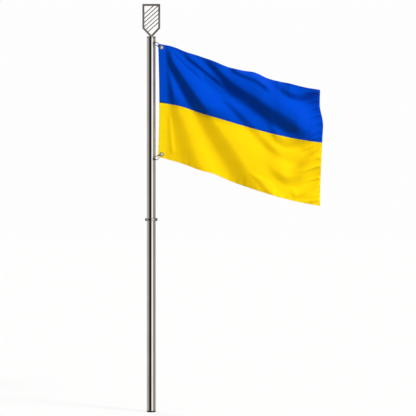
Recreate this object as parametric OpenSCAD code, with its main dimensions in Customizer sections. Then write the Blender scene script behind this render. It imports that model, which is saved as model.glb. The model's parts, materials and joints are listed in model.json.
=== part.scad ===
// Steel flagpole with a two-colour flag hung on pear-shaped links.
// The pole's axis is Z, the ground is at z = 0 and the flag flies towards +X.

/* [Pole] */
// Outer diameter of both tubes
tube_od = 73; // [58:1:88]
// Wall of both tubes
tube_wall = 2; // [1.5:0.5:4]
// Length of the lower tube, from the foot to the collar
lower_tube_l = 1508; // [1200:1:1850]
// Length of the upper tube, from the collar to the cap
upper_tube_l = 1430; // [1150:1:1750]
// Height of the foot plug's flange under the lower tube
foot_flange_h = 12; // [8:1:20]
// Length of the spigots that enter the tubes
spigot_l = 90; // [60:1:150]
// Wall of the hollow collar spigot
spigot_wall = 3; // [2:0.5:5]
// Height of the collar between the tubes
collar_h = 24; // [18:1:40]
// How far the collar stands out from the tubes
collar_lip = 14; // [8:1:20]
// Radius of the collar's rounded rim
collar_round = 8; // [4:1:9]
// Height of the groove under the cap's bead
cap_groove_h = 6; // [4:1:12]
// Depth of that groove
cap_groove_d = 4; // [2:1:6]
// Height of the cap's bead
cap_bead_h = 10; // [8:1:16]

/* [Finial] */
// Width of the finial's frame
finial_w = 142; // [116:1:172]
// Height of the frame's upright sides
finial_side_h = 195; // [160:1:240]
// Height of the frame's tapered lower part
finial_taper_h = 65; // [50:1:80]
// Width of the frame's foot on the cap
finial_foot_w = 20; // [16:1:30]
// Width of the frame's bars, seen from the front
frame_bar_w = 16; // [12:1:20]
// Depth of the frame's bars, front to back
frame_bar_d = 10; // [8:1:16]
// Width of the slanted bars
slat_w = 7; // [5:1:10]
// Depth of the slanted bars
slat_d = 6; // [4:1:8]
// Slope of the slanted bars in degrees
slat_slope = 42; // [36:1:46]
// Height of the lowest slanted bar above the cap, at the middle
slat_first_h = 62; // [56:1:68]
// Height from one slanted bar to the next, at the middle
slat_pitch = 33.5; // [28:0.5:34]

/* [Fittings] */
// Direction of the pad eyes round the pole, from the flag's side
eye_azimuth = -55; // [-60:1:-50]
// Distance from the tube to the eye's centre
eye_standoff = 15; // [14:1:20]
// Hole in the pad eye
eye_hole_d = 16.4; // [16.4:0.1:17.6]
// Width of metal round that hole
eye_ring_w = 4.3; // [3.5:0.1:5]
// Thickness of the eye's plate
eye_plate_t = 3; // [2.5:0.1:3]
// Height of the pad on the tube
pad_h = 22; // [16:1:40]
// Width of the pad on the tube
pad_w = 12; // [10:1:14]
// Thickness of the pad
pad_t = 2; // [1:0.5:2]
// Wire of the links
link_wire_d = 5; // [4:0.1:5]
// Middle radius of a link's wide end, in the pad eye
link_wide_r = 17; // [16:0.5:19]
// Middle radius of a link's narrow end, in the grommet
link_narrow_r = 9.5; // [9:0.5:11]
// Distance between the eye's centre and the grommet's centre
link_reach = 66; // [60:1:80]
// Slope of the links in degrees
link_slope = 35; // [33:1:37]
// Roll of the links about their own length, in degrees
link_roll = 45; // [43:1:47]
// Length of the screw nut on a link's leg
nut_l = 15; // [10:1:18]
// Width of that nut across its flats
nut_w = 8; // [7:0.5:9]
// Outer diameter of the grommets
grommet_od = 34; // [28:1:38]
// Hole in the grommets
grommet_hole_d = 17; // [16:0.5:18]
// Wall of the grommets' barrel
grommet_wall = 1.2; // [0.8:0.1:2]
// Thickness of the grommet's flange and of its washer
grommet_flange_t = 0.8; // [0.6:0.1:1]

/* [Flag] */
// Length of the flag from hoist to fly
flag_fly = 1350; // [1120:5:1640]
// Height of the flag
flag_hoist = 900; // [700:10:1000]
// Distance from the top of the upper tube to the flag's top corner
flag_below_cap = 45; // [40:1:120]
// Width of the flat heading along the hoist
heading_w = 56; // [48:1:70]
// Thickness of the heading
heading_t = 2.4; // [2:0.1:3]
// Distance from the hoist edge to the grommets' centres
grommet_from_edge = 28; // [24:1:30]
// Distance along the cloth from the flag's top or bottom edge to the grommets' centres
grommet_from_corner = 25; // [22:1:32]
// Width of the hems along the top, the bottom and the fly
hem_w = 20; // [15:1:30]
// Thickness of the hems
hem_t = 2.2; // [1.8:0.1:3]
// Thickness of the two panels
panel_t = 1.6; // [1.2:0.1:2]
// How far the flag reaches from hoist to fly, as a share of its length
fly_reach = 0.955; // [0.90:0.005:0.98]
// Drop of the top edge from hoist to fly, as a share of the flag's length
sag_top = 0.271; // [0.2:0.001:0.3]
// Drop of the seam from hoist to fly
sag_seam = 0.246; // [0.2:0.001:0.3]
// Drop of the bottom edge from hoist to fly
sag_bottom = 0.2815; // [0.2:0.0005:0.3]
// How high the top and bottom edges wave
edge_wave = 14; // [0:1:20]
// How far the hoist edge bows in between the grommets
hoist_bow = 9; // [0:1:20]
// Depth of the largest fold
fold_depth = 88; // [40:1:100]

/* [Clearances] */
// Gap between a spigot and its tube
slip_gap = 0.3; // [0.2:0.05:0.5]
// Gap of the weld seam between a pad eye and the tube
weld_gap = 0.2; // [0.1:0.05:0.4]
// Gap round a grommet's barrel and a link's nut
seat_gap = 0.2; // [0.1:0.05:0.3]

/* [Hidden] */
// Number of slanted bars inside the finial's frame
slat_count = 6;

steel = "silver";
dark = "dimgray";
nickel = "gainsboro";
blue = "royalblue";
yellow = "gold";
smooth = 96;

// Heights along the pole
tube_r = tube_od / 2;
bore_r = tube_r - tube_wall;
lower_tube_z = foot_flange_h;
collar_z = lower_tube_z + lower_tube_l;
upper_tube_z = collar_z + collar_h;
cap_z = upper_tube_z + upper_tube_l;
cap_top_z = cap_z + cap_groove_h + cap_bead_h;

// The cloth's shape. Share of the flag's length over which a crossing fold grows to its full size
fold_growth = 0.45;
// How much shallower the main folds are in the lower half
lower_ease = 0.62;
// How far the fly's upper corner swings back, in fold depths, and the lower corner's share of it
swing_back = 0.85;
low_swing = 0.6;
// How much the edges hang below a straight line, as a share of their drop
sag_belly = 0.075;
// How far the fly edge bulges, as a share of the flag's length
fly_bulge = 0.0195;
// How far the seam hangs low at the hoist, as a share of the flag's height
hoist_seam_drop = 0.017;

// Places of the fittings
hinge_r = tube_r + eye_standoff;
hinge_x = hinge_r * cos(eye_azimuth);
hinge_y = hinge_r * sin(eye_azimuth);
link_run = link_reach * cos(link_slope);
link_rise = link_reach * sin(link_slope);
// How far the wide end passes the eye's centre, so that its curve clears the plate
link_setback = 1;
// How far the narrow end stops short of the grommet's centre, where the flag pulls on it
link_pull = 1.8;
grommet_x = hinge_x + link_run;
flag_y = hinge_y;
flag_top_z = cap_z - flag_below_cap;
flag_bottom_z = flag_top_z - flag_hoist;
grommet_a = grommet_from_edge / flag_fly;
upper_grommet_z = flag_top_z - grommet_from_corner - sag(grommet_a, 1);
lower_grommet_z = flag_bottom_z + grommet_from_corner - sag(grommet_a, 0);
upper_eye_z = upper_grommet_z + link_rise;
lower_eye_z = lower_grommet_z - link_rise;
hoist_x = grommet_x - grommet_from_edge;
barrel_r = grommet_hole_d / 2 + grommet_wall;

// Cells of the cloth's grid
heading_cols = 2;
panel_cols = 36;
half_rows = 12;

/* Pole */

// A hollow spigot that enters a tube at height z, upwards (dir = 1) or downwards (dir = -1)
module spigot(z, dir) {
    r = bore_r - slip_gap;
    translate([0, 0, dir > 0 ? z : z - spigot_l])
        difference() {
            cylinder(r = r, h = spigot_l, $fn = smooth);
            translate([0, 0, -1])
                cylinder(r = r - spigot_wall, h = spigot_l + 2, $fn = smooth);
        }
}

module tube(z, l) {
    color(steel)
        translate([0, 0, z])
            difference() {
                cylinder(r = tube_r, h = l, $fn = smooth);
                translate([0, 0, -1])
                    cylinder(r = bore_r, h = l + 2, $fn = smooth);
            }
}

// A disc of radius r and height h whose rim is rounded by round_r
module rounded_disc(r, h, round_r) {
    rotate_extrude($fn = smooth)
        union() {
            square([r - round_r, h]);
            translate([0, round_r])
                square([r, h - 2 * round_r]);
            for (y = [round_r, h - round_r])
                translate([r - round_r, y])
                    circle(r = round_r, $fn = 48);
        }
}

module foot_plug() {
    color(dark)
        union() {
            cylinder(r = tube_r, h = foot_flange_h, $fn = smooth);
            spigot(foot_flange_h, 1);
        }
}

module joint_collar() {
    color(steel)
        union() {
            translate([0, 0, collar_z])
                rounded_disc(tube_r + collar_lip, collar_h, collar_round);
            spigot(collar_z, -1);
            spigot(upper_tube_z, 1);
        }
}

module top_cap() {
    color(steel)
        union() {
            spigot(cap_z, -1);
            translate([0, 0, cap_z])
                cylinder(r = tube_r - cap_groove_d, h = cap_groove_h, $fn = smooth);
            translate([0, 0, cap_z + cap_groove_h])
                rounded_disc(tube_r, cap_bead_h, cap_bead_h / 2 - 0.5);
        }
}

/* Finial: a shield-shaped frame on the cap, filled with slanted bars */

finial_half_w = finial_w / 2;
finial_foot_half = finial_foot_w / 2;
finial_top = finial_taper_h + finial_side_h;
taper_slope = finial_taper_h / (finial_half_w - finial_foot_half);
inner_half_w = finial_half_w - frame_bar_w;
inner_top = finial_top - frame_bar_w;
// Height of the inner edge of the tapered bars above their outer edge
taper_rise = frame_bar_w * sqrt(1 + taper_slope * taper_slope);

// Height of the tapered bars' inner edge at distance x from the middle
function inner_taper(x) = taper_slope * (x - finial_foot_half) + taper_rise;

// Places an outline drawn in X and Z, and gives it a depth of d centred on the pole
module upright(d) {
    translate([0, d / 2, cap_top_z])
        rotate([90, 0, 0])
            linear_extrude(d)
                children();
}

// side is -1 on the left and 1 on the right
module frame_piece(points, side = 1) {
    color(dark)
        upright(frame_bar_d)
            polygon([for (p = points) [side * p[0], p[1]]]);
}

module finial_top_rail() {
    frame_piece([
        [-finial_half_w, finial_top],
        [-inner_half_w, inner_top],
        [inner_half_w, inner_top],
        [finial_half_w, finial_top]
    ]);
}

module finial_stile(side) {
    frame_piece([
        [finial_half_w, finial_top],
        [inner_half_w, inner_top],
        [inner_half_w, inner_taper(inner_half_w)],
        [finial_half_w, finial_taper_h]
    ], side);
}

module finial_lower_rail(side) {
    frame_piece([
        [finial_half_w, finial_taper_h],
        [inner_half_w, inner_taper(inner_half_w)],
        [0, inner_taper(0)],
        [0, 0],
        [finial_foot_half, 0]
    ], side);
}

module finial_slat(i) {
    middle = slat_first_h + (i - 1) * slat_pitch;
    color(dark)
        upright(slat_d)
            intersection() {
                polygon([
                    [-inner_half_w, inner_top],
                    [-inner_half_w, inner_taper(inner_half_w)],
                    [0, inner_taper(0)],
                    [inner_half_w, inner_taper(inner_half_w)],
                    [inner_half_w, inner_top]
                ]);
                translate([0, middle])
                    rotate(slat_slope)
                        square([3 * finial_w, slat_w], center = true);
            }
}

/* Fittings */

module pad_eye(z) {
    ring_r = eye_hole_d / 2 + eye_ring_w;
    color(steel)
        translate([0, 0, z])
            rotate(eye_azimuth)
                difference() {
                    union() {
                        translate([hinge_r, 0, -eye_plate_t / 2])
                            cylinder(r = ring_r, h = eye_plate_t, $fn = smooth);
                        translate([bore_r, -pad_w / 2, -eye_plate_t / 2])
                            cube([hinge_r - bore_r, pad_w, eye_plate_t]);
                        intersection() {
                            translate([bore_r, -pad_w / 2, -pad_h / 2])
                                cube([eye_standoff, pad_w, pad_h]);
                            translate([0, 0, -pad_h])
                                cylinder(r = tube_r + pad_t, h = 2 * pad_h, $fn = smooth);
                        }
                    }
                    translate([0, 0, -pad_h])
                        cylinder(r = tube_r + weld_gap, h = 2 * pad_h, $fn = smooth);
                    translate([hinge_r, 0, -pad_h])
                        cylinder(d = eye_hole_d, h = 2 * pad_h, $fn = smooth);
                }
}

// Middles of the link's two round ends, along its length, and the slope of its legs
wide_middle = link_wide_r - link_setback;
narrow_middle = link_reach - link_pull - link_narrow_r;
leg_splay = asin((link_wide_r - link_narrow_r) / (narrow_middle - wide_middle));
leg_l = (narrow_middle - wide_middle) * cos(leg_splay);
// The legs are a hair thinner than the round ends, and run into them
leg_lap = 1;
leg_wire_d = link_wire_d - 0.2;

// A link's own frame: X runs from the eye to the grommet. side is 1 above, -1 below
module link_frame(z, side) {
    translate([hinge_x, hinge_y, z])
        rotate([0, side * link_slope, 0])
            rotate([side * link_roll, 0, 0])
                children();
}

module wire_arc(x, r, from, sweep) {
    translate([x, 0, 0])
        rotate([0, 0, from])
            rotate_extrude(angle = sweep, $fn = smooth)
                translate([r, 0])
                    circle(d = link_wire_d, $fn = 32);
}

// Places children on the middle of the leg on one side, with Z along the leg
module on_leg(side) {
    translate([wide_middle, 0, 0])
        rotate([0, 0, side * (90 - leg_splay)])
            translate([link_wide_r, 0, 0])
                rotate([side * 90, 0, 0])
                    children();
}

module link(z, side) {
    color(nickel)
        link_frame(z, side)
            union() {
                wire_arc(wide_middle, link_wide_r, 90 - leg_splay, 180 + 2 * leg_splay);
                wire_arc(narrow_middle, link_narrow_r, leg_splay - 90, 180 - 2 * leg_splay);
                for (leg = [-1, 1])
                    on_leg(leg)
                        translate([0, 0, -leg_lap])
                            cylinder(d = leg_wire_d, h = leg_l + 2 * leg_lap, $fn = 32);
            }
}

module link_nut(z, side) {
    color(nickel)
        link_frame(z, side)
            on_leg(-1)
                translate([0, 0, (leg_l - nut_l) / 2])
                    difference() {
                        cylinder(d = nut_w / cos(30), h = nut_l, $fn = 6);
                        translate([0, 0, -1])
                            cylinder(d = link_wire_d + 2 * seat_gap, h = nut_l + 2, $fn = 32);
                    }
}

// Points children along -Y, towards the flag's front, from the heading's middle
module facing_front(z) {
    translate([grommet_x, flag_y, z])
        rotate([90, 0, 0])
            children();
}

module grommet(z) {
    half = heading_t / 2;
    color(nickel)
        facing_front(z)
            difference() {
                union() {
                    translate([0, 0, -half - grommet_flange_t])
                        cylinder(r = barrel_r, h = heading_t + 2 * grommet_flange_t, $fn = smooth);
                    translate([0, 0, half])
                        cylinder(d = grommet_od, h = grommet_flange_t, $fn = smooth);
                }
                translate([0, 0, -heading_t])
                    cylinder(d = grommet_hole_d, h = 2 * heading_t, $fn = smooth);
            }
}

module grommet_washer(z) {
    color(nickel)
        facing_front(z)
            translate([0, 0, -heading_t / 2 - grommet_flange_t])
                difference() {
                    cylinder(d = grommet_od, h = grommet_flange_t, $fn = smooth);
                    translate([0, 0, -1])
                        cylinder(r = barrel_r + seat_gap, h = grommet_flange_t + 2, $fn = smooth);
                }
}

/* Flag. a runs from 0 at the hoist to 1 at the fly, and b from 0 at the bottom to 1 at the top */

function clamp(t) = min(1, max(0, t));
function smoothstep(t) = let (s = clamp(t)) s * s * (3 - 2 * s);
function mix(ends, t) = ends[0] + (ends[1] - ends[0]) * clamp(t);
// 1 between lo and hi, falling to 0 over soft: below lo it starts, above hi it ends
function window(t, lo, hi, soft) = smoothstep((t - lo) / soft) * (1 - smoothstep((t - hi) / soft));

// Height of a fold at distance d across it: a steep flank w wide, then a far side tail flanks long.
// With skew above 1 the flank steepens towards its crest.
function ridge(d, w, tail, skew = 1) =
    smoothstep(pow(clamp(d / w + 0.5), skew)) * (1 - smoothstep((d / w - 0.5) / tail));

// A fold that runs down the cloth, its line at a = start + reach * (foot - b) ^ bend.
// w and h give its width and height at the foot and far below it.
function fan_fold(a, b, foot, start, reach, bend, w, h, tail, skew = 1) =
    let (
        s = clamp(foot - b),
        lean = reach * bend * pow(max(s, 0.02), bend - 1) * flag_fly / flag_hoist,
        d = (a - start - reach * pow(s, bend)) * flag_fly / sqrt(1 + lean * lean)
    )
    mix(h, s) * ridge(d, mix(w, s), tail, skew);

// A fold that crosses the cloth, its line falling from b = top by up to fall.
// w and h give its width and height at the start and from a = start + fold_growth on.
function cross_fold(a, b, top, fall, start, bend, w, h, tail, skew) =
    let (
        e = exp((start - a) / bend),
        t = (a - start) / fold_growth,
        lean = fall / bend * e * flag_hoist / flag_fly,
        d = (b - top + fall * (1 - e)) * flag_hoist / sqrt(1 + lean * lean)
    )
    mix(h, t) * ridge(d, mix(w, t), tail, skew);

// A fold that hangs like a chain, its line lowest at a = mid
function hanging_fold(a, b, mid, low, curve, w, h, tail) =
    let (
        lean = 2 * curve * (a - mid) * flag_hoist / flag_fly,
        d = (b - low - curve * (a - mid) * (a - mid)) * flag_hoist / sqrt(1 + lean * lean)
    )
    h * ridge(d, w, tail);

// The first two folds fan down from the upper grommet, the third lies beyond them,
// the fourth falls from the top edge to the fly, and the last hangs near the fly.
// Their heights are shares of fold_depth, and they are shallower in the lower half.
function folds(a, b) =
    (
        fan_fold(a, b, 0.97, 0.014, 0.512, 1.05, w = [45, 330], h = [0.18, 1.43], tail = 2, skew = 1.3)
            * window(b, -1, 0.96, 0.03)
        + fan_fold(a, b, 0.80, 0.045, 0.22, 1.3, w = [30, 230], h = [0.09, 0.93], tail = 1.4)
            * window(b, -1, 0.76, 0.10)
        + fan_fold(a, b, 0.68, 0.415, 0.785, 1, w = [60, 160], h = [0.21, 0.51], tail = 2)
            * window(b, 0.28, 0.64, 0.12)
        + cross_fold(a, b, 0.953, 0.90, 0.29, 0.75, w = [95, 270], h = [0.4, 1], tail = 1.1, skew = 2)
            * window(a, 0.24, 0.80, 0.14)
        + hanging_fold(a, b, 0.765, 0.145, 5, w = 90, h = 0.66, tail = 1.4)
            * window(a, 0.68, 0.84, 0.08)
    )
    * (1 - lower_ease * smoothstep((0.62 - b) / 0.20));

// Height of the cloth towards the front. The heading stays flat, and the fly swings back.
function height(a, b) =
    let (back = swing_back * smoothstep((a - 0.1) / 0.9) * mix([low_swing, 1], b))
    fold_depth * smoothstep((a - heading_w / flag_fly) / 0.05) * (folds(a, b) - back);

// Drop of the cloth below its place at the hoist
function sag(a, b) =
    let (
        low = sag_bottom * (1 - b) * (1 - 2 * b),
        mid = sag_seam * 4 * b * (1 - b),
        high = sag_top * b * (2 * b - 1),
        free = smoothstep((a * flag_fly - heading_w) / (flag_fly / 4))
    )
    flag_fly * (low + mid + high) * (a + sag_belly * sin(180 * a * a)) * mix([0.6, 1], free);

// A smooth hump of height 1 at a = at
function hump(a, at, width) = exp(-pow((a - at) / width, 2));

// Waves of the top and bottom edges, fading out towards the seam and the heading
function edge_waves(a, b) =
    let (
        top = 1.2 * hump(a, 0.60, 0.055) + 0.5 * hump(a, 0.80, 0.09)
            - 0.85 * hump(a, 0.17, 0.06) - 0.9 * hump(a, 0.43, 0.08),
        bottom = hump(a, 0.34, 0.08) - 0.6
    )
    edge_wave * smoothstep(a / 0.1)
        * (top * smoothstep(2 * b - 1) + bottom * smoothstep(1 - 2 * b));

// Point on the cloth's middle surface at distance u from the hoist and v above the bottom.
// The fly bulges below its upper corner, and the seam hangs a little low at the hoist.
function cloth_point(u, v) =
    let (
        a = u / flag_fly,
        b = v / flag_hoist,
        bulge = fly_bulge * pow(min(1, b / 0.64), 1.5) * (1 - smoothstep((b - 0.66) / 0.2)) * a * a,
        bow = hoist_bow * sin(180 * b) * (1 - a),
        seam_drop = hoist_seam_drop * flag_hoist * sin(180 * b) * (1 - a)
    )
    [
        hoist_x + flag_fly * (fly_reach * a + bulge) + bow,
        flag_y - height(a, b),
        flag_bottom_z + v - sag(a, b) - seam_drop + edge_waves(a, b)
    ];

// Grid lines between two values, in n steps
function steps(from, to, n) = [for (i = [0:n]) from + (to - from) * i / n];

// A closed sheet t thick over the grid lines us and vs, its thickness laid along Y
module cloth_sheet(us, vs, t) {
    nu = len(us);
    nv = len(vs);
    layer = nu * nv;
    points = [
        for (side = [-1, 1])
            for (v = vs)
                for (u = us)
                    cloth_point(u, v) + [0, side * t / 2, 0]
    ];
    front = [
        for (j = [0:nv - 2])
            for (i = [0:nu - 2])
                let (k = j * nu + i)
                each [[k, k + nu, k + nu + 1], [k, k + nu + 1, k + 1]]
    ];
    back = [for (f = front) [f[0] + layer, f[2] + layer, f[1] + layer]];
    rim = concat(
        [for (i = [0:nu - 1]) i],
        [for (j = [1:nv - 1]) j * nu + nu - 1],
        [for (i = [nu - 2:-1:0]) (nv - 1) * nu + i],
        [for (j = [nv - 2:-1:1]) j * nu]
    );
    sides = [
        for (i = [0:len(rim) - 1])
            let (p = rim[i], q = rim[(i + 1) % len(rim)])
            each [[p, q, q + layer], [p, q + layer, p + layer]]
    ];
    polyhedron(points = points, faces = concat(front, back, sides));
}

heading_us = steps(0, heading_w, heading_cols);
panel_us = steps(heading_w, flag_fly - hem_w, panel_cols);
hem_us = [flag_fly - hem_w, flag_fly];
seam_v = flag_hoist / 2;
lower_vs = steps(hem_w, seam_v, half_rows);
upper_vs = steps(seam_v, flag_hoist - hem_w, half_rows);

module grommet_hole(z) {
    facing_front(z)
        translate([0, 0, -4 * heading_t])
            cylinder(r = barrel_r + seat_gap, h = 8 * heading_t, $fn = smooth);
}

module upper_heading() {
    color(blue)
        difference() {
            cloth_sheet(heading_us, concat(upper_vs, [flag_hoist]), heading_t);
            grommet_hole(upper_grommet_z);
        }
}

module lower_heading() {
    color(yellow)
        difference() {
            cloth_sheet(heading_us, concat([0], lower_vs), heading_t);
            grommet_hole(lower_grommet_z);
        }
}

module upper_panel() {
    color(blue) cloth_sheet(panel_us, upper_vs, panel_t);
}

module lower_panel() {
    color(yellow) cloth_sheet(panel_us, lower_vs, panel_t);
}

module top_hem() {
    color(blue) cloth_sheet(panel_us, [flag_hoist - hem_w, flag_hoist], hem_t);
}

module bottom_hem() {
    color(yellow) cloth_sheet(panel_us, [0, hem_w], hem_t);
}

module upper_fly_hem() {
    color(blue) cloth_sheet(hem_us, concat(upper_vs, [flag_hoist]), hem_t);
}

module lower_fly_hem() {
    color(yellow) cloth_sheet(hem_us, concat([0], lower_vs), hem_t);
}

foot_plug();
tube(lower_tube_z, lower_tube_l);  // lower_tube
joint_collar();
tube(upper_tube_z, upper_tube_l);  // upper_tube
top_cap();
finial_top_rail();
finial_stile(-1);  // finial_left_stile
finial_stile(1);  // finial_right_stile
finial_lower_rail(-1);  // finial_left_lower_rail
finial_lower_rail(1);  // finial_right_lower_rail
for (i = [1:slat_count])
    finial_slat(i);
pad_eye(upper_eye_z);  // upper_pad_eye
pad_eye(lower_eye_z);  // lower_pad_eye
link(upper_eye_z, 1);  // upper_link
link(lower_eye_z, -1);  // lower_link
link_nut(upper_eye_z, 1);  // upper_link_nut
link_nut(lower_eye_z, -1);  // lower_link_nut
grommet(upper_grommet_z);  // upper_grommet
grommet(lower_grommet_z);  // lower_grommet
grommet_washer(upper_grommet_z);  // upper_grommet_washer
grommet_washer(lower_grommet_z);  // lower_grommet_washer
upper_heading();
lower_heading();
upper_panel();
lower_panel();
top_hem();
bottom_hem();
upper_fly_hem();
lower_fly_hem();
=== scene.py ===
import json
import math

import bpy
import numpy as np
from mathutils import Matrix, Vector


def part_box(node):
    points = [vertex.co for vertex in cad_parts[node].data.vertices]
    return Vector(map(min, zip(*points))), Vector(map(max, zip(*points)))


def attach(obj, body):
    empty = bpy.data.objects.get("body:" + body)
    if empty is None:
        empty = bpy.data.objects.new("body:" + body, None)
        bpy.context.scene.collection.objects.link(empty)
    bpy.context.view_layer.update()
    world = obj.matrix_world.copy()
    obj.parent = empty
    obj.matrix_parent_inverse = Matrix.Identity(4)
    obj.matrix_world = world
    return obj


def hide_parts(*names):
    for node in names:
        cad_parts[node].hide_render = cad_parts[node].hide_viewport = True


# Looks of the steel flagpole and of its two-colour flag, which hangs from two links.
# Lengths are in metres. On the flag, u runs from the hoist to the fly and v from the
# bottom to the top; a and b are the same as shares of the flag's length and height.

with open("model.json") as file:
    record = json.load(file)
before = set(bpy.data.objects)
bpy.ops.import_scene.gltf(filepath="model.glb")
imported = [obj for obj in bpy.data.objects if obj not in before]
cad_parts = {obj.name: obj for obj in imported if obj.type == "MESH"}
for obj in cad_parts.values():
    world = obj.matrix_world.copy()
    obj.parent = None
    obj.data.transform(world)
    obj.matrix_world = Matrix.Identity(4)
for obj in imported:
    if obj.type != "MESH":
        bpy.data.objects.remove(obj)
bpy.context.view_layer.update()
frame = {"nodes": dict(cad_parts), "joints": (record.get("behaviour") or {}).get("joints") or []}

MM = 0.001

# ---------------------------------------------------------------- places from the frame

FLAG_HOIST = 0.900
HINGE = Vector(frame["joints"][0]["pos_m"])
HOIST_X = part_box("upper_heading")[0].x
FLAG_Y = HINGE.y
BOTTOM_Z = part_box("upper_heading")[1].z - FLAG_HOIST


def middle(node):
    lo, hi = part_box(node)
    return (lo + hi) / 2


# ---------------------------------------------------------------- the cloth's shape

# The CAD model's own sizes, except that the seam hangs 3 mm lower here
FLAG_FLY = 1.350
HEADING_W = 0.056
HEM_W = 0.020
FLY_REACH = 0.955
SAG_TOP = 0.271
SAG_SEAM = 0.248
SAG_BOTTOM = 0.2815
SAG_BELLY = 0.075
EDGE_WAVE = 0.014
HOIST_BOW = 0.009
SEAM_DROP = 0.020 * FLAG_HOIST
FLY_BULGE = 0.0195

# The share of the flag's height at which the bulge is full, and where and over what it ends
BULGE_FULL, BULGE_END, BULGE_FADE = 0.64, 0.66, 0.2
# Share of its sag that the cloth has at the hoist; it has all of it further out
HOIST_SAG = 0.6
# Share of the flag's length over which a crossing fold grows to its full size
FOLD_GROWTH = 0.45
# How much shallower the main folds are in the lower half, from where and over what height
LOWER_EASE, EASE_FROM, EASE_OVER = 0.62, 0.61, 0.15
# How far the fly's upper corner swings back, in millimetres, and the lower corner's share of it
SWING_BACK, LOW_SWING = 75, 0.6
FLY_CREASES = 15


def clamp(t):
    return np.clip(t, 0, 1)


def smooth(t):
    s = clamp(t)
    return s * s * (3 - 2 * s)


def mix(ends, t):
    return ends[0] + (ends[1] - ends[0]) * clamp(t)


def window(t, lo, hi, soft):
    """Rises from 0 at lo to 1 over soft, and falls back to 0 over soft from hi on."""
    return smooth((t - lo) / soft) * (1 - smooth((t - hi) / soft))


def hump(t, at, width):
    return np.exp(-(((t - at) / width) ** 2))


def ridge(d, w, tail, skew=1.0):
    """A fold at distance d across it: a steep flank w wide, then a far side tail flanks long.
    With skew above 1 the flank steepens towards its crest."""
    return smooth(clamp(d / w + 0.5) ** skew) * (1 - smooth((d / w - 0.5) / tail))


def fan_fold(a, b, foot, start, reach, bend, w, h, tail, skew=1.0):
    """A fold that runs down the cloth, its line at a = start + reach * (foot - b) ** bend.
    w and h give its width and height in millimetres at the foot and far below it."""
    s = clamp(foot - b)
    lean = reach * bend * np.maximum(s, 0.02) ** (bend - 1) * FLAG_FLY / FLAG_HOIST
    d = (a - start - reach * s**bend) * FLAG_FLY / np.sqrt(1 + lean**2)
    return mix(h, s) * ridge(d / MM, mix(w, s), tail, skew)


def cross_fold(a, b, top, fall, start, bend, w, h, tail, skew=1.3):
    """A fold that crosses the cloth, its line falling from b = top by up to fall."""
    e = np.exp((start - a) / bend)
    t = (a - start) / FOLD_GROWTH
    lean = fall / bend * e * FLAG_HOIST / FLAG_FLY
    d = (b - top + fall * (1 - e)) * FLAG_HOIST / np.sqrt(1 + lean**2)
    return mix(h, t) * ridge(d / MM, mix(w, t), tail, skew)


def hanging_fold(a, b, mid, low, curve, w, h, tail, span=2):
    """A fold that hangs like a chain, its line lowest at a = mid and span long to either side."""
    lean = 2 * curve * (a - mid) * FLAG_HOIST / FLAG_FLY
    d = (b - low - curve * (a - mid) ** 2) * FLAG_HOIST / np.sqrt(1 + lean**2)
    return h * ridge(d / MM, w, tail) * window(a, mid - span, mid + span, 0.07)


def main_folds(a, b):
    """The five large folds, in millimetres. The CAD model has them too, from an earlier fitting."""
    first = fan_fold(
        a, b, foot=0.97, start=0.014, reach=0.512, bend=1.05, w=(45, 330), h=(16, 126), tail=2.0, skew=1.3
    )
    second = fan_fold(a, b, foot=0.80, start=0.036, reach=0.225, bend=1.3, w=(30, 230), h=(8, 80), tail=1.4)
    third = fan_fold(a, b, foot=0.68, start=0.403, reach=0.885, bend=1.0, w=(60, 160), h=(18, 130), tail=2.0)
    crossing = cross_fold(
        a, b, top=0.948, fall=0.90, start=0.29, bend=0.75, w=(95, 285), h=(34, 90), tail=1.1, skew=1.7
    )
    low = hanging_fold(a, b, mid=0.79, low=0.140, curve=4.5, w=80, h=70, tail=2.6)
    folds = (
        first * window(b, -1, 0.96, 0.03)
        + second * window(b, -1, 0.76, 0.10)
        + third * window(b, 0.28, 0.64, 0.12)
        + crossing * window(a, 0.24, 0.83, 0.16)
        + low * window(a, 0.64, 0.88, 0.15)
    )
    return folds * (1 - LOWER_EASE * smooth((EASE_FROM - b) / EASE_OVER))


def fanned_folds(a, b):
    """Shallower folds that run down the cloth: by the heading, at the bottom and by the fly."""
    by_heading = fan_fold(a, b, foot=0.42, start=0.045, reach=0.085, bend=1.0, w=(26, 30), h=(4, 5), tail=1.2)
    bottom = fan_fold(a, b, foot=0.13, start=0.570, reach=0.85, bend=1.0, w=(50, 70), h=(7, 38), tail=1.6)
    by_fly = fan_fold(a, b, foot=0.50, start=1.01, reach=-0.60, bend=0.95, w=(50, 150), h=(16, 46), tail=2.2)
    return (
        by_heading * window(b, 0.05, 0.36, 0.06)
        + bottom * window(b, -1, 0.09, 0.05)
        + by_fly * window(b, 0.14, 0.46, 0.20)
    )


def crossing_folds(a, b):
    """Three shallower folds that fall from the top edge."""
    first = cross_fold(a, b, top=0.97, fall=1.41, start=0.07, bend=1.5, w=(22, 50), h=(8, 8), tail=1.5)
    second = cross_fold(a, b, top=0.972, fall=2.15, start=0.14, bend=3.0, w=(32, 50), h=(11, 13), tail=1.5)
    third = cross_fold(a, b, top=0.965, fall=0.40, start=0.46, bend=0.9, w=(50, 60), h=(26, 18), tail=1.6)
    return (
        first * window(a, 0.075, 0.24, 0.05)
        + second * window(a, 0.15, 0.36, 0.05)
        + third * window(a, 0.43, 0.66, 0.05)
    )


def hung_folds(a, b):
    """Shallower folds that hang like chains: two by the fly's upper corner, two lower down."""
    return (
        hanging_fold(a, b, mid=0.845, low=0.872, curve=5, w=60, h=20, tail=1.2, span=0.14)
        + hanging_fold(a, b, mid=0.87, low=0.91, curve=2, w=170, h=52, tail=1.0, span=0.12)
        + hanging_fold(a, b, mid=0.79, low=0.437, curve=4.5, w=80, h=18, tail=1.0, span=0.13)
        + hanging_fold(a, b, mid=0.827, low=0.034, curve=3.5, w=40, h=10, tail=1.2, span=0.14)
        * window(a, 0.80, 2, 0.05)
    )


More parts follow.
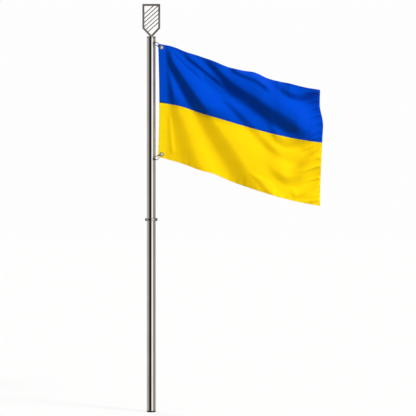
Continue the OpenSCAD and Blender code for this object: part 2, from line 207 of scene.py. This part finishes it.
def waves(x, y, count, length, seed):
    """Smooth unevenness of about -1 to 1: sine waves of about that length, in seeded directions."""
    rng = np.random.default_rng(seed)
    total = 0
    for _ in range(count):
        k = 2 * math.pi / (length * rng.uniform(0.7, 1.5))
        turn = rng.uniform(0, math.pi)
        across = x * math.cos(turn) + y * math.sin(turn)
        total = total + np.sin(k * across + rng.uniform(0, 2 * math.pi))
    return total / math.sqrt(count)


def puckers(u, v):
    """The cloth draws up a little beside its stitched edges, in millimetres."""
    top = FLAG_HOIST - v
    seam = np.abs(v - FLAG_HOIST / 2)
    return (
        0.7 * np.exp(-top / 0.030) * waves(u, 0 * u, 5, 0.045, 11)
        + 0.9 * np.exp(-v / 0.035) * waves(u, 0 * u, 5, 0.050, 12)
        + 0.6 * np.exp(-seam / 0.030) * waves(u, 0 * u, 5, 0.040, 13)
    )


def fly_wrinkles(u, v):
    """Short creases that run in and down from the fly's hem, in millimetres."""
    rng = np.random.default_rng(31)
    fly = FLAG_FLY - u
    total = 0
    for i in range(FLY_CREASES):
        start = FLAG_HOIST * (i + rng.uniform(0.2, 0.8)) / FLY_CREASES
        slope, length = rng.uniform(0.25, 0.60), rng.uniform(0.07, 0.17)
        width, size = rng.uniform(0.009, 0.015), rng.uniform(7.0, 13.0)
        near = smooth(fly / HEM_W) * hump(fly, 0, length)
        total = total + size * near * hump(v + slope * fly, start, width)
    return total


def height(u, v):
    """Height of the cloth towards the front, in metres. The heading stays flat."""
    a, b = u / FLAG_FLY, v / FLAG_HOIST
    folds = main_folds(a, b) + fanned_folds(a, b) + crossing_folds(a, b) + hung_folds(a, b)
    back = SWING_BACK * smooth((a - 0.1) / 0.9) * (LOW_SWING + (1 - LOW_SWING) * b)
    rough = 0.9 * waves(u, v, 7, 0.16, 21) * smooth((u - HEADING_W) / 0.15)
    free = smooth((a - HEADING_W / FLAG_FLY) / 0.05)
    return MM * free * (folds - back + puckers(u, v) + fly_wrinkles(u, v) + rough)


def sag(a, b):
    """Drop of the cloth below its place at the hoist."""
    low = SAG_BOTTOM * (1 - b) * (1 - 2 * b)
    mid = SAG_SEAM * 4 * b * (1 - b)
    high = SAG_TOP * b * (2 * b - 1)
    belly = a + SAG_BELLY * np.sin(math.pi * a * a)
    free = smooth((a * FLAG_FLY - HEADING_W) / (FLAG_FLY / 4))
    return FLAG_FLY * (low + mid + high) * belly * (HOIST_SAG + (1 - HOIST_SAG) * free)


def edge_waves(a, b):
    """Waves of the top and bottom edges, fading out towards the seam and the heading."""
    top = (
        1.2 * hump(a, 0.60, 0.055)
        + 0.5 * hump(a, 0.80, 0.09)
        - 0.85 * hump(a, 0.17, 0.06)
        - 0.9 * hump(a, 0.43, 0.08)
    )
    bottom = hump(a, 0.34, 0.08) - 0.6
    return EDGE_WAVE * smooth(a / 0.1) * (top * smooth(2 * b - 1) + bottom * smooth(1 - 2 * b))


def cloth_point(u, v):
    """Points on the cloth's middle surface."""
    a, b = u / FLAG_FLY, v / FLAG_HOIST
    rise = np.minimum(1, clamp(b) / BULGE_FULL) ** 1.5
    bulge = FLY_BULGE * rise * (1 - smooth((b - BULGE_END) / BULGE_FADE)) * a * a
    at_hoist = np.sin(math.pi * b) * (1 - a)
    x = HOIST_X + FLAG_FLY * (FLY_REACH * a + bulge) + HOIST_BOW * at_hoist
    z = BOTTOM_Z + v - sag(a, b) - SEAM_DROP * at_hoist + edge_waves(a, b)
    return np.stack([x, FLAG_Y - height(u, v), z], axis=-1)


def cloth_frame(u, v):
    """Points on the cloth, with the unit directions along u, along v and out of its front."""
    step = 0.0005
    p = cloth_point(u, v)
    du = cloth_point(u + step, v) - cloth_point(u - step, v)
    dv = cloth_point(u, v + step) - cloth_point(u, v - step)
    du /= np.linalg.norm(du, axis=-1, keepdims=True)
    front = np.cross(du, dv)
    front /= np.linalg.norm(front, axis=-1, keepdims=True)
    return p, du, np.cross(front, du), front


# ---------------------------------------------------------------- the sewn flag

CLOTH_T = 0.0006
HEM_T = 0.0016
HEADING_T = 0.0024
SEAM_W = 0.010
# How far the lower panel passes behind the upper one at the seam, and how far below it that starts
SEAM_BEHIND = 1.3 * CLOTH_T
BEHIND_FROM = 0.002
EDGE_R = 0.0006
CELL = 0.0055
# Where extra lines of a sheet's grid lie, from its ends and from the edges within it
NEAR_END = (0.0002, 0.0006, 0.0011)
NEAR_EDGE = (-0.0008, -0.0002, 0.0002, 0.0008)
GROMMET_HOLE_R = 0.0099
HEADING_STEP = 0.004


def step_at(t, place, width=0.0012):
    """0 before place and 1 after it, over a stitched-down edge's width."""
    return smooth((t - place) / width + 0.5)


def grid_lines(start, end, edges):
    """Lines about a cell apart, closer at both ends and at the edges between."""
    fixed = [start, *[start + n for n in NEAR_END], *[end - n for n in NEAR_END], end]
    for e in edges:
        fixed += [e + n for n in NEAR_EDGE]
    fixed = sorted(fixed)
    out = []
    for p, q in zip(fixed, fixed[1:]):
        n = max(1, round((q - p) / CELL))
        out += [p + (q - p) * i / n for i in range(n)]
    return np.array(out + [fixed[-1]])


def mesh_object(name, points, faces, uvs=None):
    """A smooth-shaded mesh piece. uvs holds one pair per point."""
    mesh = bpy.data.meshes.new(name)
    mesh.from_pydata(points.tolist(), [], [list(map(int, f)) for f in faces])
    mesh.shade_smooth()
    if uvs is not None:
        layer = mesh.uv_layers.new(name="cloth")
        corners = np.empty(len(mesh.loops), np.int32)
        mesh.loops.foreach_get("vertex_index", corners)
        layer.data.foreach_set("uv", uvs[corners].astype(np.float32).ravel())
    piece = bpy.data.objects.new(name, mesh)
    bpy.context.scene.collection.objects.link(piece)
    return piece


def sheet_sides(u, v, upper):
    """Heights of a colour's front and back over the cloth's middle. The hems fold to the back."""
    heading = 1 - step_at(u, HEADING_W, HEADING_STEP)
    hem = step_at(v, FLAG_HOIST - HEM_W) if upper else 1 - step_at(v, HEM_W)
    hems = np.maximum(step_at(u, FLAG_FLY - HEM_W), hem) * (1 - heading)
    behind = 0 if upper else SEAM_BEHIND * step_at(v, FLAG_HOIST / 2 - BEHIND_FROM) * (1 - heading)
    half = CLOTH_T / 2 + heading * (HEADING_T - CLOTH_T) / 2
    return half - behind, -half - hems * (HEM_T - CLOTH_T) - behind


def grid_quads(index):
    return np.stack([index[:-1, :-1], index[1:, :-1], index[1:, 1:], index[:-1, 1:]], -1)


def outline(quads):
    """The directed edges round a patch of quads."""
    edges = {}
    for quad in quads.tolist():
        for p, q in zip(quad, quad[1:] + quad[:1]):
            if (q, p) in edges:
                del edges[q, p]
            else:
                edges[p, q] = True
    return list(edges)


def draw_to_circle(layer, corners, grommet):
    """Moves these points of a layer onto the grommet's hole, seen from the front."""
    flat = layer.reshape(-1, 3)
    for k in corners:
        arm = np.array([flat[k, 0] - grommet.x, flat[k, 2] - grommet.z])
        arm *= GROMMET_HOLE_R / np.linalg.norm(arm)
        flat[k, 0], flat[k, 2] = grommet.x + arm[0], grommet.z + arm[1]


def used_only(points, faces, uvs):
    """The same mesh without the points that no face uses."""
    faces = np.array(faces)
    used, renumbered = np.unique(faces, return_inverse=True)
    return points[used], renumbered.reshape(faces.shape), uvs[used]


def panel(name, low, high, grommet):
    """One colour of the flag from v = low to v = high, with its hems folded to the back, its
    half of the heading, and a hole at the grommet. It is a closed sheet of its real layers."""
    upper = high == FLAG_HOIST
    us = grid_lines(0, FLAG_FLY, [HEADING_W, FLAG_FLY - HEM_W])
    vs = grid_lines(
        low, high, [FLAG_HOIST - HEM_W if upper else HEM_W, FLAG_HOIST / 2 + (SEAM_W if upper else 0)]
    )
    u, v = np.meshgrid(us, vs, indexing="ij")
    sides = sheet_sides(u, v, upper)
    inward = np.minimum.reduce([u, FLAG_FLY - u, v - low, high - v])
    round_edge = np.sqrt(1 - (1 - clamp(inward / EDGE_R)) ** 2)
    centre = (sides[0] + sides[1]) / 2
    p, _, _, out = cloth_frame(u, v)
    layers = [p + out * (centre + (side - centre) * round_edge)[..., None] for side in sides]

    index = np.arange(u.size).reshape(u.shape)
    back_index = np.where(inward == 0, index, index + u.size)
    hole = np.hypot(p[..., 0] - grommet.x, p[..., 2] - grommet.z) < GROMMET_HOLE_R
    cut = hole[:-1, :-1] | hole[1:, :-1] | hole[:-1, 1:] | hole[1:, 1:]
    quads = grid_quads(index)
    back_quads = grid_quads(back_index)[..., [0, 3, 2, 1]]
    faces = quads[~cut].tolist() + back_quads[~cut].tolist()
    # the wall of the hole, its corners drawn in to a circle
    edges = outline(quads[cut])
    flat_back = back_index.ravel()
    faces += [[q, p0, int(flat_back[p0]), int(flat_back[q])] for p0, q in edges]
    for layer in layers:
        draw_to_circle(layer, {k for e in edges for k in e}, grommet)
    points = np.concatenate([layer.reshape(-1, 3) for layer in layers])
    uvs = np.tile(np.stack([u, v], -1).reshape(-1, 2), (2, 1))
    return mesh_object(name, *used_only(points, faces, uvs))


STITCH_PITCH = 0.0042
STITCH_L = 0.0034
THREAD_W = 0.0009
THREAD_H = 0.0005
# How far rows of stitches lie in from the edges of a hem, of the seam and of the heading
HEM_INSET = 0.003
SEAM_INSET = 0.002
HEADING_INSET = 0.0025
HEADING_SECOND = 0.0075
# How far short of the fly the level rows stop
FLY_STOP = 0.004
# A stitch is four rings of four points. Shares of its length, of its width and of its height.
STITCH_ALONG = np.array([-0.5, -0.32, 0.32, 0.5])
STITCH_ARCH = np.array([-0.5, 0.25, 0.25, -0.5])
STITCH_PROFILE = np.array([(-0.5, -0.5), (-0.36, 0.75), (0.36, 0.75), (0.5, -0.5)])
STITCH_FACES = [
    (4 * i + j, 4 * i + (j + 1) % 4, 4 * i + 4 + (j + 1) % 4, 4 * i + 4 + j)
    for i in range(3)
    for j in range(4)
] + [(3, 2, 1, 0), (12, 13, 14, 15)]


def stitches(name, rows):
    """Rows of lock stitches. A row is two ends in u and v and its height over the cloth's middle
    on the front and on the back. Each stitch is a low arch that dips into the cloth."""
    along = (STITCH_ALONG * STITCH_L)[:, None, None]
    across = (STITCH_PROFILE[:, 0] * THREAD_W)[:, None]
    above = (STITCH_ARCH[:, None] + STITCH_PROFILE[:, 1]) * THREAD_H
    points, faces = [], []
    for start, end, front, back in rows:
        start, end = np.array(start), np.array(end)
        count = int(np.linalg.norm(end - start) / STITCH_PITCH)
        at = start + (end - start) * ((np.arange(count) + 0.5) / count)[:, None]
        p, du, dv, out = (x[:, None, None] for x in cloth_frame(at[:, 0], at[:, 1]))
        level = abs(end[0] - start[0]) > abs(end[1] - start[1])
        run, side = (du, dv) if level else (dv, du)
        for face, lift in ((1, front), (-1, back)):
            rings = p + run * along + side * across + out * face * (lift + above)[..., None]
            first = sum(len(x) for x in points)
            points.append(rings.reshape(-1, 3))
            turn = -1 if (face > 0) == level else 1
            faces += [
                [first + 16 * stitch + k for k in quad[::turn]]
                for stitch in range(count)
                for quad in STITCH_FACES
            ]
    return mesh_object(name, np.concatenate(points), faces)


def flag_rows(low, high, upper):
    """The stitch rows of one colour: heading, hems and seam."""
    thin, thick = CLOTH_T / 2, HEM_T - CLOTH_T / 2
    heading = HEADING_T / 2
    seam = FLAG_HOIST / 2
    end_v = high - HEM_INSET if upper else low + HEM_INSET
    start_v = seam + SEAM_INSET if upper else seam - SEAM_INSET
    inner_v = high - HEM_W + HEM_INSET if upper else low + HEM_W - HEM_INSET
    seam_rows = [seam + SEAM_INSET, seam + SEAM_W - SEAM_INSET] if upper else []
    start_u, end_u = HEADING_W + SEAM_INSET, FLAG_FLY - FLY_STOP
    rows = []
    for u in (HEADING_INSET, HEADING_W - HEADING_SECOND, HEADING_W - HEADING_INSET):
        rows.append(((u, start_v), (u, end_v), heading, heading))
    for u in (FLAG_FLY - HEM_W + HEM_INSET, FLAG_FLY - HEM_INSET):
        rows.append(((u, start_v), (u, end_v), thin, thick))
    for v in (end_v, inner_v):
        rows.append(((start_u, v), (end_u, v), thin, thick))
    for v in seam_rows:
        rows.append(((start_u, v), (end_u, v), thin, SEAM_BEHIND + CLOTH_T / 2))
    return rows


# ---------------------------------------------------------------- materials

WHITE = (1, 1, 1, 1)


def add_node(tree, kind, values=(), **settings):
    """A shader node. values gives its inputs a plain value or a link from another node."""
    made = tree.nodes.new("ShaderNode" + kind)
    for key, value in settings.items():
        setattr(made, key, value)
    for socket, value in dict(values).items():
        if isinstance(value, bpy.types.NodeSocket):
            tree.links.new(value, made.inputs[socket])
        else:
            made.inputs[socket].default_value = value
    return made


def colour_ramp(tree, value, stops):
    """Colours at places along value."""
    made = add_node(tree, "ValToRGB", {"Fac": value})
    elements = made.color_ramp.elements
    while len(elements) < len(stops):
        elements.new(1.0)
    for element, (place, colour) in zip(elements, stops):
        element.position = place
        element.color = (*colour, 1)
    return made.outputs["Color"]


class Paint:
    """A material with one Principled shader. Plain values go on the shader's own sockets."""

    def __init__(self, name, **plain):
        self.material = bpy.data.materials.new(name)
        self.material.use_nodes = True
        self.tree = self.material.node_tree
        self.shader = self.tree.nodes["Principled BSDF"]
        for socket, value in plain.items():
            self.shader.inputs[socket.replace("_", " ")].default_value = value

    def node(self, kind, values=(), **settings):
        return add_node(self.tree, kind, values, **settings)

    def place(self, scale, uv=None):
        """Coordinates in metres, stretched by scale: the object's own, or a named UV layer."""
        if uv:
            source = self.node("UVMap", uv_map=uv).outputs[0]
        else:
            source = self.node("TexCoord").outputs["Object"]
        return self.node("Mapping", {"Vector": source, "Scale": scale}).outputs[0]

    def noise(self, scale, detail=2.0, roughness=0.5, distortion=0.0, uv=None):
        """Noise of about one feature per unit of scaled length."""
        values = {
            "Vector": self.place(scale, uv),
            "Scale": 1.0,
            "Detail": detail,
            "Roughness": roughness,
            "Distortion": distortion,
        }
        return self.node("TexNoise", values).outputs["Fac"]

    def threads(self, direction, scale, distortion, detail=2.0, uv=None):
        """Parallel bands, as of threads."""
        values = {
            "Vector": self.place((1, 1, 1), uv),
            "Scale": scale,
            "Distortion": distortion,
            "Detail": detail,
        }
        made = self.node("TexWave", values, wave_type="BANDS", bands_direction=direction)
        return made.outputs["Fac"]

    def spread(self, value, lo, hi, to_lo, to_hi):
        """value, from between lo and hi, to between to_lo and to_hi."""
        values = {"Value": value, "From Min": lo, "From Max": hi, "To Min": to_lo, "To Max": to_hi}
        return self.node("MapRange", values).outputs[0]

    def maths(self, operation, *values):
        return self.node("Math", dict(enumerate(values)), operation=operation).outputs[0]

    def ramp(self, value, *stops):
        return colour_ramp(self.tree, value, stops)

    def darkened(self, colour, share):
        """colour times share."""
        values = {0: 1, 6: colour, 7: share}
        return self.node("Mix", values, data_type="RGBA", blend_type="MULTIPLY").outputs[2]

    def set(self, socket, value):
        self.tree.links.new(value, self.shader.inputs[socket])

    def bump(self, value, distance, strength=1.0):
        """Adds relief of that depth in metres to whatever relief there is."""
        values = {"Height": value, "Distance": distance, "Strength": strength}
        old = self.shader.inputs["Normal"].links
        if old:
            values["Normal"] = old[0].from_socket
        self.set("Normal", self.node("Bump", values).outputs[0])


def cloth_material(name, bright, deep, shine):
    """Satin polyester: a fine diagonal twill of warp and weft threads, soft sheen, small slubs.
    shine is the colour of its gloss."""
    paint = Paint(
        name,
        Specular_IOR_Level=0.35,
        Specular_Tint=(*shine, 1),
        Sheen_Weight=0.15,
        Sheen_Roughness=0.4,
        Sheen_Tint=(*shine, 1),
        Anisotropic=0.25,
    )
    warp = paint.threads("X", scale=260, distortion=0.6, detail=1, uv="cloth")
    weft = paint.threads("DIAGONAL", scale=330, distortion=0.6, detail=1, uv="cloth")
    weave = paint.maths("MULTIPLY", warp, weft)
    slubs = paint.noise((18, 900, 1), 3, 0.6, uv="cloth")
    fade = paint.noise((3.2, 4.5, 1), 3, 0.55, 0.4, uv="cloth")
    crumple = paint.noise((22, 26, 1), 3, 0.5, 0.6, uv="cloth")
    # the heading's layers let less light through than a single one, and look brighter
    cloth_uv = paint.node("UVMap", uv_map="cloth").outputs[0]
    u = paint.node("SeparateXYZ", {"Vector": cloth_uv}).outputs["X"]
    tone = paint.maths(
        "ADD", paint.spread(slubs, 0.3, 0.7, -0.07, 0.07), paint.spread(fade, 0.3, 0.7, 0.40, 0.60)
    )
    tone = paint.maths("ADD", paint.spread(weave, 0, 1, -0.10, 0.10), tone)
    tone = paint.maths("ADD", tone, paint.spread(u, HEADING_W - 0.001, HEADING_W + 0.001, 0.35, 0))
    brightest = [min(1, c * 1.14) for c in bright]
    paint.set("Base Color", paint.ramp(tone, (0.2, deep), (0.5, bright), (0.85, brightest)))
    paint.set("Roughness", paint.spread(paint.maths("ADD", fade, slubs), 0.7, 1.3, 0.42, 0.54))
    paint.bump(weave, 0.00006, 0.5)
    paint.bump(slubs, 0.00005, 0.5)
    paint.bump(crumple, 0.0011, 0.35)
    return paint.material


def thread_material(name, colour):
    """Sewing thread: twisted strands of nearly the cloth's colour."""
    paint = Paint(name, Specular_IOR_Level=0.45, Sheen_Weight=0.2, Sheen_Roughness=0.4)
    twist = paint.threads("DIAGONAL", scale=900, distortion=1.5)
    paint.set("Base Color", paint.ramp(twist, (0, [c * 0.75 for c in colour]), (1, colour)))
    paint.set("Roughness", paint.spread(twist, 0, 1, 0.5, 0.62))
    paint.bump(twist, 0.00008, 0.6)
    return paint.material


def metal_material(name, dark, light, roughness, grain, marks=0.0, depth=0.00001, painted_rim_shade=1.0):
    """Polished or plated metal: fine lines along grain's small axis, soft stains and specks.
    marks is how much rougher the specks are, depth the lines' depth in metres, and painted_rim_shade
    the share of its brightness that is left where it turns away from the camera: painted shade
    towards its outline."""
    paint = Paint(name, Metallic=1.0, Anisotropic=0.3)
    lines = paint.noise(grain, 4, 0.65)
    stains = paint.noise((9, 9, 5), 4, 0.6, 0.8)
    specks = paint.noise((140, 140, 90), 2, 0.5)
    tone = paint.maths(
        "ADD", paint.spread(lines, 0.3, 0.7, 0.0, 0.5), paint.spread(stains, 0.3, 0.7, 0.0, 0.5)
    )
    colour = paint.ramp(tone, (0.1, dark), (0.9, light))
    # painted shade: the colour darkens towards the metal's outline, where its surface turns away from the
    # camera
    if painted_rim_shade < 1:
        turned = paint.node("LayerWeight", {"Blend": 0.5}).outputs["Facing"]
        colour = paint.darkened(colour, paint.spread(turned, 0.22, 0.55, 1, painted_rim_shade))
    paint.set("Base Color", colour)
    rough = paint.maths(
        "ADD",
        paint.spread(stains, 0.35, 0.75, *roughness),
        paint.spread(specks, 0.62, 0.75, 0.0, marks),
    )
    paint.set("Roughness", rough)
    paint.bump(lines, depth, 0.5)
    return paint.material


def foot_material():
    """Black moulded nylon with a fine grain, dusty and scuffed."""
    paint = Paint("black_nylon", Specular_IOR_Level=0.4)
    grain = paint.noise((2200, 2200, 2200), 2, 0.5)
    dust = paint.noise((60, 60, 140), 4, 0.65, 0.5)
    black, dusty = (0.012, 0.012, 0.013), (0.06, 0.056, 0.05)
    paint.set("Base Color", paint.ramp(dust, (0.35, black), (0.75, dusty)))
    paint.set("Roughness", paint.spread(dust, 0.3, 0.7, 0.45, 0.75))
    paint.bump(grain, 0.00005, 0.6)
    return paint.material


# ---------------------------------------------------------------- camera, light and stage

CAMERA_AT = (0.4519, -12.0, 1.624)
LENS_MM = 130.3

# Where the world's round gradient faces the camera; it goes round once from 0 to 1
GRADIENT_FRONT = 0.25
# What mirrors show: degrees to the right of the camera, brightness, warmth
ROOM = [
    (-110, 0.46, 0.02),
    (-64, 0.38, 0.03),
    (-47, 0.02, 0.10),
    (-8, 0.002, 0.15),
    (6, 0.28, 0.03),
    (18, 1.0, 0.0),
    (40, 1.0, 0.0),
    (52, 0.26, 0.09),
    (100, 0.25, 0.09),
    (140, 0.52, 0.03),
    (200, 0.52, 0.02),
]
ROOM_LEVEL = 1.6
EVEN_LEVEL = 0.28
BACKGROUND = (0.985, 0.985, 0.985, 1)

FLOOR_HALF = 60
FLOOR_DROP = 0.0002
FLOOR_COLOUR = (0.18, 0.18, 0.18, 1)
FLOOR_GLOW = 0.765


def make_camera():
    data = bpy.data.cameras.new("camera")
    data.lens = LENS_MM
    data.sensor_width = 36
    camera = bpy.data.objects.new("camera", data)
    camera.location = CAMERA_AT
    camera.rotation_euler = (math.radians(90), 0, 0)
    bpy.context.scene.collection.objects.link(camera)
    bpy.context.scene.camera = camera


def sun(name, toward, angle, strength, colour=(1, 1, 1)):
    """A wide soft light from the direction toward, even over the whole scene."""
    data = bpy.data.lights.new(name, "SUN")
    data.energy = strength
    data.color = colour
    data.angle = math.radians(angle)
    lamp = bpy.data.objects.new(name, data)
    lamp.rotation_euler = Vector(toward).to_track_quat("Z", "Y").to_euler()
    lamp.visible_glossy = False
    bpy.context.scene.collection.objects.link(lamp)


def make_world():
    """A pale studio: even light on matt surfaces, and a pale room with one dark and one bright
    screen, left and right of the front, in whatever mirrors it."""
    world = bpy.data.worlds.new("studio")
    bpy.context.scene.world = world
    world.use_nodes = True
    tree = world.node_tree
    tree.nodes.clear()
    path = add_node(tree, "LightPath").outputs
    place = add_node(tree, "TexCoord").outputs["Generated"]
    around = add_node(tree, "TexGradient", {0: place}, gradient_type="RADIAL").outputs["Fac"]
    turned = sorted(((GRADIENT_FRONT + t / 360) % 1, level, warmth) for t, level, warmth in ROOM)
    stops = [(t, (level * (1 + warm), level, level * (1 - warm))) for t, level, warm in turned]
    room = colour_ramp(tree, around, stops)
    mirror = add_node(tree, "Background", {"Color": room, "Strength": ROOM_LEVEL})
    even = add_node(tree, "Background", {"Color": WHITE, "Strength": EVEN_LEVEL})
    seen = add_node(tree, "Background", {"Color": BACKGROUND, "Strength": 1})
    glossy = add_node(
        tree, "MixShader", {"Fac": path["Is Glossy Ray"], 1: even.outputs[0], 2: mirror.outputs[0]}
    )
    shown = add_node(
        tree, "MixShader", {"Fac": path["Is Camera Ray"], 1: glossy.outputs[0], 2: seen.outputs[0]}
    )
    add_node(tree, "OutputWorld", {"Surface": shown.outputs[0]})


def make_floor():
    """A pale floor that takes the object's shadow and meets the background without a line."""
    corners = np.array([(-1, -1), (1, -1), (1, 1), (-1, 1)]) * FLOOR_HALF
    points = np.column_stack([corners, np.full(4, -FLOOR_DROP)])
    floor = mesh_object("floor", points, [[0, 1, 2, 3]])
    material = bpy.data.materials.new("pale_floor")
    material.use_nodes = True
    tree = material.node_tree
    tree.nodes.clear()
    path = add_node(tree, "LightPath").outputs
    rays = {0: path["Is Camera Ray"], 1: path["Is Glossy Ray"]}
    seen = add_node(tree, "Math", rays, operation="MAXIMUM").outputs[0]
    strength = add_node(tree, "Math", {0: seen, 1: FLOOR_GLOW}, operation="MULTIPLY").outputs[0]
    matt = add_node(tree, "BsdfDiffuse", {"Color": FLOOR_COLOUR})
    glow = add_node(tree, "Emission", {"Color": WHITE, "Strength": strength})
    total = add_node(tree, "AddShader", {0: matt.outputs[0], 1: glow.outputs[0]})
    add_node(tree, "OutputMaterial", {"Surface": total.outputs[0]})
    floor.data.materials.append(material)
    floor.visible_glossy = False


make_camera()
make_world()
make_floor()
bpy.context.scene.view_settings.view_transform = "Standard"
sun("key", toward=(0.74, -0.50, 0.46), angle=16, strength=3.7)
sun("fill", toward=(-0.5, 0.75, 0.45), angle=40, strength=2.8)
sun("warm", toward=(-0.55, -0.75, 0.10), angle=60, strength=0.75, colour=(1.0, 0.56, 0.12))

# ---------------------------------------------------------------- the object

BLUE = (0.0, 0.064, 0.61)
BLUE_DEEP = (0.0, 0.042, 0.46)
BLUE_SHINE = (0.03, 0.22, 1.0)
BLUE_THREAD = (0.004, 0.09, 0.55)
YELLOW = (0.98, 0.69, 0.002)
YELLOW_DEEP = (0.92, 0.60, 0.001)
YELLOW_SHINE = (1.0, 0.85, 0.25)
YELLOW_THREAD = (0.90, 0.62, 0.01)

blue_flag = panel("blue_panel", FLAG_HOIST / 2, FLAG_HOIST, middle("upper_grommet"))
yellow_flag = panel("yellow_panel", 0, FLAG_HOIST / 2 + SEAM_W, middle("lower_grommet"))
blue_thread = stitches("blue_stitching", flag_rows(FLAG_HOIST / 2, FLAG_HOIST, True))
yellow_thread = stitches("yellow_stitching", flag_rows(0, FLAG_HOIST / 2, False))
for piece, slot, material in (
    (blue_flag, "blue_cloth", cloth_material("blue_satin", BLUE, BLUE_DEEP, BLUE_SHINE)),
    (yellow_flag, "yellow_cloth", cloth_material("yellow_satin", YELLOW, YELLOW_DEEP, YELLOW_SHINE)),
    (blue_thread, "blue_cloth", thread_material("blue_thread", BLUE_THREAD)),
    (yellow_thread, "yellow_cloth", thread_material("yellow_thread", YELLOW_THREAD)),
):
    piece.data.materials.append(material)
    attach(piece, "flag")
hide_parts("upper_panel", "upper_heading", "top_hem", "upper_fly_hem")
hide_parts("lower_panel", "lower_heading", "bottom_hem", "lower_fly_hem")


def finish_nodes(material, *names):
    for name in names:
        slots = frame["nodes"][name].data.materials
        slots.clear()
        slots.append(material)


LINES_ROUND = (30, 30, 2600)
LINES_UPRIGHT = (900, 900, 60)
EVEN_GRAIN = (300, 300, 300)
tube_steel = metal_material(
    "polished_steel",
    dark=(0.50, 0.485, 0.465),
    light=(0.64, 0.625, 0.605),
    roughness=(0.03, 0.06),
    grain=LINES_ROUND,
    marks=0.04,
    depth=0.000002,
)
# painted shade: its colour is darkened towards its outline, where it turns away from the camera
collar_steel = metal_material(
    "turned_steel",
    dark=(0.40, 0.385, 0.37),
    light=(0.56, 0.54, 0.52),
    roughness=(0.08, 0.16),
    grain=LINES_ROUND,
    marks=0.10,
    painted_rim_shade=0.08,
)
finial_steel = metal_material(
    "satin_steel",
    dark=(0.33, 0.288, 0.25),
    light=(0.51, 0.455, 0.405),
    roughness=(0.26, 0.40),
    grain=LINES_UPRIGHT,
    marks=0.10,
)
eye_steel = metal_material(
    "eye_steel",
    dark=(0.14, 0.13, 0.12),
    light=(0.26, 0.245, 0.23),
    roughness=(0.22, 0.34),
    grain=(600, 600, 200),
    marks=0.10,
)
link_plate = metal_material(
    "plated_steel",
    dark=(0.07, 0.063, 0.057),
    light=(0.16, 0.148, 0.138),
    roughness=(0.14, 0.26),
    grain=EVEN_GRAIN,
    marks=0.15,
)
# painted shade: its colour is darkened towards its outline, where it turns away from the camera
nickel = metal_material(
    "nickel_plate",
    dark=(0.76, 0.72, 0.64),
    light=(0.93, 0.89, 0.81),
    roughness=(0.14, 0.24),
    grain=EVEN_GRAIN,
    marks=0.12,
    painted_rim_shade=0.45,
)
finish_nodes(tube_steel, "lower_tube", "upper_tube")
finish_nodes(collar_steel, "joint_collar", "top_cap")
finish_nodes(finial_steel, *[n for n in frame["nodes"] if n.startswith("finial_")])
finish_nodes(eye_steel, "upper_pad_eye", "lower_pad_eye")
finish_nodes(link_plate, "upper_link", "lower_link", "upper_link_nut", "lower_link_nut")
finish_nodes(nickel, "upper_grommet", "lower_grommet", "upper_grommet_washer", "lower_grommet_washer")
finish_nodes(foot_material(), "foot_plug")
